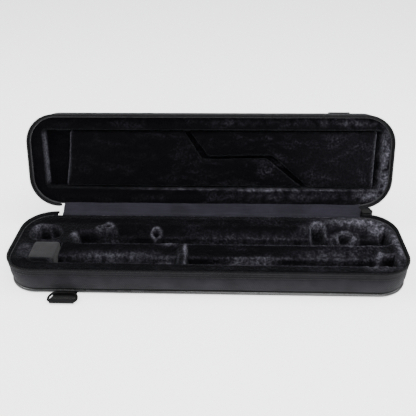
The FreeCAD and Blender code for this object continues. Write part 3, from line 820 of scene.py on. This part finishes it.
def pocket(x, y, x0, x1, y0, y1, depth, radius):
    """A sunk rectangle with rounded corners."""
    dx = np.clip(np.maximum(x0 + radius - x, x - x1 + radius), 0, None)
    dy = np.clip(np.maximum(y0 + radius - y, y - y1 + radius), 0, None)
    return np.where(np.hypot(dx, dy) < radius, lining_top - depth, lining_top)


def shelf(x, y, x0, x1, y0, y1, depth, slope):
    """A sunk step whose rear wall is pressed to a slope."""
    rise = np.clip((y - (y1 - slope)) / slope, 0, 1)
    return np.where((x > x0) & (x < x1) & (y > y0) & (y < y1), lining_top - depth * (1 - rise), lining_top)


def hump(x, y, cx, cy, rx, ry):
    """A soft swelling, 1 in its middle."""
    return np.exp(-((x - cx) / rx) ** 2 - ((y - cy) / ry) ** 2)


def base_heights(x, y):
    """The joints' three channels, shelves for their keys, the finger wells, a pit and the block's bed."""
    hollows = [
        tube_hollow(x, y, *body_ends, rear_middle),
        tube_hollow(x, y, *head_ends, front_middle),
        tube_hollow(x, y, *foot_ends, front_middle),
        shelf(x, y, -105.2, body_ends[1], rear_middle, 37.0, 8.5, 11.0),
        shelf(x, y, head_ends[0], 187.0, front_middle, front_shelf_rear, 6.5, 13.0),
        shelf(x, y, -165.1, foot_ends[1], front_middle, front_shelf_rear, 6.5, 13.0),
        pocket(x, y, 121.1, 135.1, well_front, 40.5, well_depth, well_corner),
        pocket(x, y, 152.5, 166.5, well_front, 30.5, well_depth, well_corner),
        pocket(x, y, 199.0, 208.0, well_front, 30.5, well_depth, well_corner),
        pocket(x, y, -67.4, -56.4, well_front, 23.5, 14.0, well_corner),
        pocket(x, y, -205.0, -171.0, 6.5, 31.5, 17.5, 12.4),
        pocket(x, y, -194.0, -166.4, -27.5, 0.6, 14.8, 1.5),
    ]
    return np.minimum.reduce(hollows)


# %% The lining itself
def bends(field, reach, axis):
    """How far a field stands above its neighbours on two sides: high along an outer edge."""
    around = (np.roll(field, reach, axis) + np.roll(field, -reach, axis)) / 2
    return np.clip(field - around, 0, None)


def painted_edge_highlight(field, end_gain, side_gain):
    """Painted highlight where the pile turns over an edge, most across its nap, which runs along the case."""
    return np.clip(end_gain * bends(field, 2, 0) + side_gain * bends(field, 2, 1) - 0.08, 0, 1)


def brushed(x, y, tufts, field):
    """Adds soft lumps to a field, and a painted glow of the pile on them."""
    painted_shine = np.zeros(x.shape)
    for cx, cy, rx, ry, height, painted_glow in tufts:
        lump = hump(x, y, cx, cy, rx, ry)
        field = field + height * lump
        painted_shine = painted_shine + painted_glow * lump
    return field, painted_shine


def rim_distance(x, y):
    """How far inside the rim a place is."""
    dx = np.clip(np.abs(x) - (rim_length / 2 - rim_corner_radius), 0, None)
    dy = np.clip(np.abs(y) - (rim_width / 2 - rim_corner_radius), 0, None)
    straight = np.minimum(rim_length / 2 - np.abs(x), rim_width / 2 - np.abs(y))
    return np.where((dx > 0) & (dy > 0), rim_corner_radius - np.hypot(dx, dy), straight)


def ring_at(x, y, cx, cy, radius, thickness):
    """A soft ring, as plush makes round a small hole."""
    return np.exp(-((np.hypot(x - cx, y - cy) - radius) / thickness) ** 2)


def beside_hinge(x, y, low, high):
    """1 along the hinge, and 0 in front of it and past its ends."""
    return step_up(y, low, high) * (1 - step_up(np.abs(x), 175.0, 190.0))


# Each curl: its middle's x and y, its radius, thickness and the strength of its painted glow.
base_curls = [
    (-60.4, 28.0, 5.5, 1.7, 0.6), (-117.4, 32.8, 5.0, 2.2, 0.55), (-126.5, 29.5, 3.5, 1.8, 0.4),
    (-193.0, 23.0, 10.5, 2.2, 0.5),
]
# Each tuft or fold of pile: its middle's x and y, its half widths, its height and its painted glow.
# Tufts of no height are only painted glow.
base_tufts = [
    (172, 44, 30, 6, 0.8, 1.0), (196, 37, 11, 9, 0.6, 1.0), (212, 8, 4, 18, 0.8, 1.0),
    (213, -14, 4, 14, 0.6, 0.9), (183, 3, 15, 3, 1.6, 0.8), (190, -42, 24, 4, 0.8, 0.4),
    (40, -20, 16, 4, 0.6, 0.9), (64, -17, 12, 3, 0.4, 0.6), (146, 9, 4, 6, 1.8, 1.0),
    (148, 24, 7, 5, 1.6, 0.5), (168, 25, 6, 6, 1.4, 0.6), (189, -16, 3, 8, 1.2, 0.6),
    (112, 34, 5, 4, 1.6, 0.4), (60, 24, 80, 6, 0.0, 0.15), (140, -12, 40, 6, 0.0, 0.3),
    (-154, 16, 4, 5, 1.8, 0.7), (-112, 5, 3.5, 2.5, 1.6, 0.9), (-110, 22, 16, 3, 0.0, 0.2),
    (-60.4, 28, 3, 3, -5.0, 0.0), (-42, -1, 8, 2, 1.2, 0.5), (-24, -8, 2.2, 9, 1.4, 1.0),
    (-19, -32, 5, 4, 1.0, 0.9), (-43, -20, 8, 4, 0.8, 0.6), (-100, -15, 48, 5, 0.0, 0.5),
    (-203, -14, 6, 8, 2.6, 0.5), (-198, -27, 8, 6, 2.4, 0.15), (-182, -34, 17, 4.5, 4.6, 0.0),
    (-100, -41, 62, 4, 0.8, 0.0),
]
lining_inset, lining_foot = 3.7, 4.6
x, y = rim_grid(lining_inset, 1.0, 121)
edge = rim_distance(x, y)
soft = smoothed(base_heights(x, y), 6)
swell = noise_over(x, y, 17.0, 2.2)
fuzz = noise_over(x, y, 3.4, 8.2) + 0.6 * noise_over(x, y, 1.9, 1.1)
gathers = noise_over(x, y, 5.0, 4.4, (1.0, 0.35))
ruffled = hump(x, y, 185.0, -42.0, 34.0, 7.0) + hump(x, y, 205.0, -12.0, 9.0, 16.0)
in_front = step_up(-y, 20.0, 34.0)
fade = 1 - step_up(edge, 10.0 + 6.0 * in_front, 19.0 + in_front)
border = (1.9 + 0.9 * beside_hinge(x, y, 34.0, 46.0) + 0.9 * in_front) * step_up(edge, 1.5, 4.4) * fade
shaped, painted_glow = brushed(x, y, base_tufts, soft + border)
for cx, cy, radius, thickness, strength in base_curls:
    curl = ring_at(x, y, cx, cy, radius, thickness)
    shaped = shaped + 1.2 * curl
    painted_glow = painted_glow + strength * curl
painted_shine_patches = np.clip(0.65 + 0.8 * noise_over(x, y, 4.5, 3.3), 0, 1)
level = shaped + 0.2 * bends(shaped, 3, 1) + 0.35 * swell + 0.30 * fuzz + 0.9 * gathers * ruffled
# Painted light: the edge highlight grows towards the right end, and it and the glow come in random patches.
painted_shine_rightwards = 0.3 + 0.7 * step_up(x, -120.0, 120.0)
painted_shine = np.clip(painted_edge_highlight(shaped, 0.15, 0.20) * painted_shine_rightwards * (0.4 + painted_shine_patches) + painted_glow * painted_shine_patches, 0, 1)
lining = spread("base_plush_lining", "base", x, y, level, lining_foot, painted_shine)
dress(lining, "base", "plush", ["base_liner"])
print(lining.name, len(lining.data.polygons), "faces")

# %% [markdown]
# ## The lid's lining
# The lid has a tray of the same plush: a broad rim with a sunken floor for two pads. It is spread over the
# same kind of grid, with one rounded pocket. A thin painted highlight line at its left end stands for a lit
# fold of the pile, and painted glow and edge highlights brighten its right end.

# %% The lid's tray
# Each tuft: its middle's x and y, its half widths, its height and its painted glow.
lid_tufts = [
    (209, -8, 5, 28, 0.6, 1.0), (211, 24, 6, 14, 0.5, 1.0), (196, 42, 16, 7, 0.4, 0.8),
    (110, 42, 60, 5, 0.3, 0.18), (165, -46, 40, 4, 0.3, 0.35), (40, -46, 60, 4, 0.2, 0.1),
    (70, 35.5, 30, 1.6, 0.5, 1.0), (-30, 35, 50, 0.7, 0.0, 0.6), (150, 35, 50, 0.7, 0.0, 0.6),
]
x, y = rim_grid(lining_inset, 1.1, 111)
sunk = pocket(x, y, -199.0, 203.6, -37.0, 34.0, 12.5, 3.0) - lining_top
soft = smoothed(lid_depth - lining_drop + sunk, 3)
swell = noise_over(x, y, 21.0, 6.2)
fuzz = noise_over(x, y, 3.4, 5.2)
shaped, painted_glow = brushed(x, y, lid_tufts, soft)
painted_shine_patches = np.clip(0.5 + 0.9 * noise_over(x, y, 6.0, 2.7), 0, 1)
level = shaped + 2.4 * beside_hinge(x, y, 40.0, 47.0) + 0.35 * swell + 0.25 * fuzz
# A thin painted highlight line along the left wall of the sunken floor; the shape has no fold there.
painted_line_x = -199.3 + 0.8 * (y + 34.0) / 66.0
painted_ridge_line = np.exp(-((x - painted_line_x) / 0.9) ** 2) * step_up(y, -36.0, -30.0) * (1 - step_up(y, 26.0, 32.0))
# Painted highlight on the tray's outer edges, fading out towards the left.
painted_lit_edges = painted_edge_highlight(soft, 0.12, 0.035) * step_up(x, -60.0, 60.0)
painted_shine = np.clip(painted_lit_edges + 0.8 * painted_ridge_line + painted_glow * painted_shine_patches, 0, 1)
tray = spread("lid_plush_tray", "lid", x, y, level, lining_foot, painted_shine)
dress(tray, "lid", "plush", ["lid_liner_tray"])
print(tray.name, len(tray.data.polygons), "faces")

# %% [markdown]
# ## Pads and the loose block
# The pads are foam in a plush cover, so they are full in the middle and drawn in along the seams. Each
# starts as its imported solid, made into even quads, and is blown up gently by the cloth solver with gravity
# off. How far a point may move is capped, so that a pad stays in its place. The block is foam alone, so it
# only has its edges rounded.

# %% Blowing up a padded piece
def remeshed(node, name, voxel):
    """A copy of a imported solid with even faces."""
    mesh = frame["nodes"][node].data.copy()
    mesh.name = name
    work = bmesh.new()
    work.from_mesh(mesh)
    bmesh.ops.remove_doubles(work, verts=work.verts, dist=1e-6)
    work.to_mesh(mesh)
    work.free()
    obj = put(name, mesh)
    modifier = obj.modifiers.new("even faces", "REMESH")
    modifier.mode = "VOXEL"
    modifier.voxel_size = voxel * MM
    evaluated = obj.evaluated_get(bpy.context.evaluated_depsgraph_get())
    even = bpy.data.meshes.new_from_object(evaluated)
    obj.modifiers.clear()
    obj.data = even
    return obj


def vertices_of(mesh):
    places = np.zeros(len(mesh.vertices) * 3)
    mesh.vertices.foreach_get("co", places)
    return places.reshape(-1, 3)


def plump(obj, pressure, cap, frames=20):
    """Swells a closed mesh with the cloth solver and keeps each point within the cap of its start."""
    start = vertices_of(obj.data)
    cloth = obj.modifiers.new("swell", "CLOTH")
    cloth.settings.use_pressure = True
    cloth.settings.uniform_pressure_force = pressure
    cloth.settings.effector_weights.gravity = 0.0
    cloth.settings.mass = 0.15
    cloth.point_cache.frame_end = frames
    for number in range(1, frames + 1):
        bpy.context.scene.frame_set(number)
    evaluated = obj.evaluated_get(bpy.context.evaluated_depsgraph_get())
    moved = vertices_of(evaluated.to_mesh()) - start
    evaluated.to_mesh_clear()
    obj.modifiers.clear()
    bpy.context.scene.frame_set(1)
    far = np.linalg.norm(moved, axis=1, keepdims=True)
    moved *= np.minimum(1, cap * MM / np.maximum(far, 1e-9))
    obj.data.vertices.foreach_set("co", (start + moved).ravel())


def smooth_mesh(obj, rounds):
    """Rounds the edges: each point moves halfway to the middle of its neighbours, several times."""
    work = bmesh.new()
    work.from_mesh(obj.data)
    for _ in range(rounds):
        bmesh.ops.smooth_vert(
            work, verts=work.verts, factor=0.5, use_axis_x=True, use_axis_y=True, use_axis_z=True,
        )
    work.to_mesh(obj.data)
    work.free()
    shade_smooth(obj.data)


def paint_pad_sheen(obj, outwards, gain):
    """Paints a highlight on the pads' outer ends, where they turn down, and a painted haze of light at the
    right.
    """
    facing = Vector(outwards).normalized()
    values = []
    for vertex in obj.data.vertices:
        turned = min(1.0, gain * max(0.0, 0.97 - abs(vertex.normal.dot(facing))))
        across = min(1.0, 1.6 * abs(vertex.normal.x)) * step_up(abs(vertex.co.x) / MM, 145, 160)
        # Painted light: a faint haze that grows towards the right end.
        painted_haze = 0.035 * step_up(vertex.co.x / MM, 60, 180)
        values.append(max(0.9 * turned * across, painted_haze))
    obj.data.attributes.new("painted_sheen", "FLOAT", "POINT").data.foreach_set("value", values)


lid_face = place([(0, 0, 1), (0, 0, 0)], "lid")
lid_outwards = lid_face[0] - lid_face[1]
for side in ("left", "right"):
    pad = remeshed("lid_pad_" + side, "lid_plush_pad_" + side, 2.0)
    plump(pad, 3.0, 1.2)
    smooth_mesh(pad, 3)
    paint_pad_sheen(pad, lid_outwards, 1.6)
    dress(pad, "lid", "pad", ["lid_pad_" + side])
    print(pad.name, len(pad.data.polygons), "faces")

block = remeshed("spacer_block", "spacer_foam_block", 1.0)
smooth_mesh(block, 12)
dress(block, "spacer", "foam", ["spacer_block"])

# %% [markdown]
# ## The cloth hinge
# One strip of nylon joins the halves along the straight part of the rear side, with a crease where it bends.
# It is one sheet that meets the base at one edge and the lid at the other.
# Its section is drawn in the frame as it stands open, then given the thickness of the cloth.

# %% The hinge
def ribbon_section(line, thickness, steps):
    """The closed section of a strip, with cloth on both sides of a smooth line, and the line's length."""
    line = np.array(line, float)
    lengths = path_lengths(line)
    even = np.linspace(0, lengths[-1], steps)
    smooth = np.stack([np.interp(even, lengths, line[:, k]) for k in (0, 1)], 1)
    for _ in range(3):
        smooth[1:-1] = (smooth[:-2] + 2 * smooth[1:-1] + smooth[2:]) / 4
    ahead = np.gradient(smooth, axis=0)
    ahead /= np.linalg.norm(ahead, axis=1, keepdims=True)
    side = np.stack([-ahead[:, 1], ahead[:, 0]], 1) * thickness / 2
    return np.vstack([smooth + side, (smooth - side)[::-1]]), float(lengths[-1])


def strip(name, half, section, x_places, ripple, seed):
    """A section of (y, z) points carried along x, closed at both ends."""
    rows, columns = len(x_places), len(section)
    places = []
    for x_place in x_places:
        sway = np.array([noise.noise(Vector((x_place / 24.0, k * 0.35, seed))) for k in range(columns // 2)])
        sway = np.concatenate([sway, sway[::-1]]) * ripple
        places.append(np.stack([np.full(columns, x_place), section[:, 0], section[:, 1] + sway], 1))
    around = path_lengths(np.vstack([section, section[:1]]))
    faces, cloth = grid(rows, columns, False, True, x_places - x_places[0], around)
    return make_piece(name, half, np.vstack(places), capped(faces, rows, columns), cloth)


def sew_across(piece, finish, size):
    """Gives a strip its finish, bakes its placing into its points and prints its size laid flat."""
    material, slot = finishes[finish]
    piece.data.materials.append(material)
    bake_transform(piece)
    print(piece.name, "%.1f mm by %.1f mm when laid flat" % size)


hinge_half_length = rim_length / 2 - rim_corner_radius
hinge_left, hinge_right = 5.5 - hinge_half_length, hinge_half_length
hinge_line = [
    (53.0, 25.6), (53.9, 26.9), (56.2, 27.9), (59.8, 28.8), (60.8, 29.0),
    (61.7, 29.9), (64.6, 32.2), (68.5, 34.2), (71.8, 35.4), (73.0, 35.2),
]
section, width = ribbon_section(hinge_line, 1.1, 26)
hinge = strip("cloth_hinge", "base", section, np.linspace(hinge_left, hinge_right, 122), 0.35, 2.0)
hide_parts("base_hinge_cloth", "lid_hinge_cloth")
sew_across(hinge, "hinge", (hinge_right - hinge_left, width))

# %% [markdown]
# ## The zipper's tail
# Past the hinge's right end the two zipper tapes are sewn into one, behind the slider. This short piece of
# tape closes the corner between the halves, drawn as it stands open.

# %% The tail
tail_line = [
    (53.6, 30.6), (55.6, 30.2), (57.6, 28.6), (60.8, 27.8), (63.4, 29.4), (65.2, 32.2), (66.4, 34.0),
]
section, length = ribbon_section(tail_line, 1.0, 22)
tail_left, tail_right = hinge_half_length - 1.0, hinge_half_length + 11.5
tail = strip("zipper_tape_tail", "base", section, np.linspace(tail_left, tail_right, 12), 0.2, 4.0)
sew_across(tail, "tape", (tail_right - tail_left, length))

# %% [markdown]
# ## Webbing tabs
# Each D-ring is held by a loop of webbing that comes out of the piping seam. The webbing is drawn as its
# path seen from the side, given its thickness, and carried across its width. The base's lies flat under the
# folded ring. The lid's folds over its edge and hangs down behind it.

# %% Tabs
webbing_width, webbing_thickness = 25.4, 1.0
bar_wrap = 2.4


def around_bar(centre, radius, start, end, steps=9):
    """Points on an arc, from one angle to another in degrees."""
    angles = np.radians(np.linspace(start, end, steps))
    return [(centre[0] + radius * math.cos(a), centre[1] + radius * math.sin(a)) for a in angles]


def tab(half, line, steps):
    """A strip of webbing along a line of (y, z) points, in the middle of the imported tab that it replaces."""
    low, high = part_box(half + "_strap_tab")
    middle = (low[0] + high[0]) / 2 / MM
    section = ribbon_section(line, webbing_thickness, steps)[0]
    across = np.linspace(middle - webbing_width / 2, middle + webbing_width / 2, 15)
    piece = strip(half + "_webbing_tab", half, section, across, 0.08, 5.0)
    return dress(piece, half, "webbing", [half + "_strap_tab"])


base_bar, sewn_level = (-70.3, 2.9), 0.7
line = [(-45.0, sewn_level), (-60.0, sewn_level), (base_bar[0], sewn_level)]
line += around_bar(base_bar, bar_wrap, -90, -270)
line += [(-68.5, 4.7), (-65.5, 2.6), (-62.8, 1.95)]
base_tab = tab("base", line, 44)

bar_drop = 16.0
hang = opening - math.pi / 2
fold = (1.0 - rim_width / 2, total_depth + 1.6)
lid_bar = (fold[0] + bar_drop * math.cos(hang), fold[1] + bar_drop * math.sin(hang))


def own_of_closed(points):
    """The lid's tab is easier to draw on the closed case: only the level has to be turned over."""
    return [(y, total_depth - z) for y, z in points]


turned = math.degrees(hang)
sewn_level = total_depth - 0.6
line = [(-44.6, sewn_level), (fold[0] + 0.6, sewn_level)]
line += around_bar((fold[0] + 0.1, fold[1] - 0.2), 1.0, 225, 100, 5)
line += [(fold[0] + 2.5, fold[1] + 1.2)]
line += around_bar(lid_bar, bar_wrap, 90 + turned, -90 + turned - 40, 10)
line += [(lid_bar[0] - 3.6, lid_bar[1] - 1.6)]
lid_tab = tab("lid", own_of_closed(line), 48)
print(base_tab.name, lid_tab.name)

# %% [markdown]
# ## Hard pieces
# The rings, the slider, its bail and its pull, and the end stops are metal, and their solids already have
# the right shape, so they only take the enamel. The shells are hidden under cloth and take the foam.

# %% Finishes for the solids that stay
metal_nodes = (
    "base_d_ring", "lid_d_ring", "zipper_slider", "slider_bail", "pull_tab",
    "base_zipper_stops", "lid_zipper_stops",
)
for node in metal_nodes:
    frame["nodes"][node].material_slots[0].material = enamel
for node in ("base_shell", "lid_shell"):
    frame["nodes"][node].material_slots[0].material = shell_foam

for unit in (tooth, stitch):
    bpy.data.objects.remove(unit)

# %% [markdown]
# ## Floor, light and camera
# The case stands on a plain pale floor. The key light hangs high on the left, so the right-hand face of the
# foam block is dark. A long light overhead shows the weave and the pile, one low in front draws the line of
# gloss on the piping, and a weak one on the right lifts the plush at that end. The camera was fitted to the
# outline in the photograph, and its lens, height and slight roll are given here as the fit found them.

# %% Floor and light
def pale_floor():
    bpy.ops.mesh.primitive_plane_add(size=8.0, location=(0, 1.0, -0.0002))
    floor = bpy.context.object
    floor.name = "floor"
    material, tree, shader = new_material("floor", 0.8, 0.1, emission_strength=1.5)
    shader.inputs["Emission Color"].default_value = (1.0, 1.0, 1.0, 1.0)
    coords = add(tree, "ShaderNodeTexCoord").outputs["Object"]
    grain = noise_node(tree, coords, 9.0, 3.0)
    tree.links.new(mixed(tree, grain, grey(0.86), grey(0.90)), shader.inputs["Base Color"])
    floor.data.materials.append(material)


def area_light(name, place_at, target, size, power):
    data = bpy.data.lights.new(name, "AREA")
    data.shape = "RECTANGLE"
    data.size, data.size_y = size
    data.energy = power
    lamp = put(name, data)
    lamp.location = place_at
    lamp.rotation_euler = (Vector(target) - Vector(place_at)).to_track_quat("-Z", "Y").to_euler()


pale_floor()
area_light("key", (-0.85, 0.0, 1.05), (0.1, 0, 0.05), (0.8, 0.8), 17.0)
area_light("front", (0.5, -1.2, 0.5), (0.15, 0, 0.02), (1.1, 0.5), 15.0)
area_light("overhead", (0.4, -0.3, 1.35), (0.1, 0, 0.03), (1.6, 0.4), 20.0)
area_light("right", (0.9, 0.0, 0.9), (0, 0, 0.05), (0.7, 0.7), 8.0)
world = bpy.data.worlds.new("studio")
bpy.context.scene.world = world
world.use_nodes = True
sky = world.node_tree.nodes["Background"].inputs
sky["Color"].default_value = (0.95, 0.97, 1.0, 1.0)
sky["Strength"].default_value = 0.75

# %% Camera
image_width, focal_pixels = 416, 550.4
elevation, azimuth, roll = math.radians(33.40), math.radians(2.4), math.radians(-0.8)
target = Vector((1.7, 1.9, 74.1)) * MM
distance = 593.5 * MM

level_back = Vector((math.sin(azimuth), -math.cos(azimuth), 0))
back = level_back * math.cos(elevation) + Vector((0, 0, math.sin(elevation)))
right = Vector((math.cos(azimuth), math.sin(azimuth), 0))
up = back.cross(right)
camera_data = bpy.data.cameras.new("camera")
camera_data.sensor_width = 36.0
camera_data.lens = camera_data.sensor_width * focal_pixels / image_width
camera_data.clip_start = 0.01
camera = put("camera", camera_data)
turned_right = right * math.cos(roll) + up * math.sin(roll)
turned_up = up * math.cos(roll) - right * math.sin(roll)
axes = Matrix((turned_right, turned_up, back)).transposed().to_4x4()
camera.matrix_world = Matrix.Translation(target + distance * back) @ axes
bpy.context.scene.camera = camera
print("camera at", [round(v, 4) for v in camera.location], "lens %.1f" % camera_data.lens)
